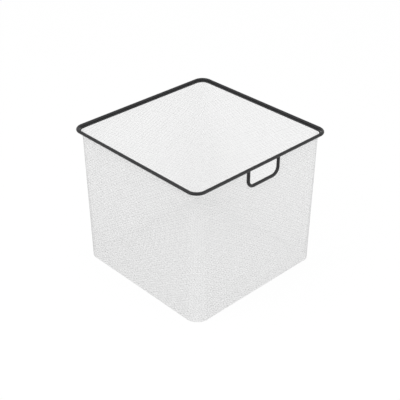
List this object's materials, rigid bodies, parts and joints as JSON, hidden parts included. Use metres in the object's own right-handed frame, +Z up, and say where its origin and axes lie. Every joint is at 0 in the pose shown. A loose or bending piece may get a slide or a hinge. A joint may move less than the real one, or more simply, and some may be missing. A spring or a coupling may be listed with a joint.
{
  "type": "mesh basket",
  "caption": "Square open-topped storage basket of expanded steel mesh, with a round wire rim and a wire loop that frames a finger opening in one side.",
  "frame": {"origin": "centre of the bounding box's bottom, on the underside of the floor mesh", "axes": "+Z up out of the open mouth; -Y out through the side with the handle loop; +X to the right when that side is faced"},
  "size_m": [0.3564, 0.3564, 0.2987],
  "materials": {
    "dark_powder_coat": "satin powder coat, dark grey",
    "pale_mesh_coat": "satin coat, pale grey"
  },
  "bodies": {
    "root": {"rim_wire": "dark_powder_coat", "edge_wire": "dark_powder_coat", "handle_loop": "dark_powder_coat", "wall_mesh_front": "pale_mesh_coat", "wall_mesh_right": "pale_mesh_coat", "wall_mesh_back": "pale_mesh_coat", "wall_mesh_left": "pale_mesh_coat", "corner_mesh_front_right": "pale_mesh_coat", "corner_mesh_back_right": "pale_mesh_coat", "corner_mesh_back_left": "pale_mesh_coat", "corner_mesh_front_left": "pale_mesh_coat", "floor_mesh": "pale_mesh_coat"}
  },
  "joints": []
}
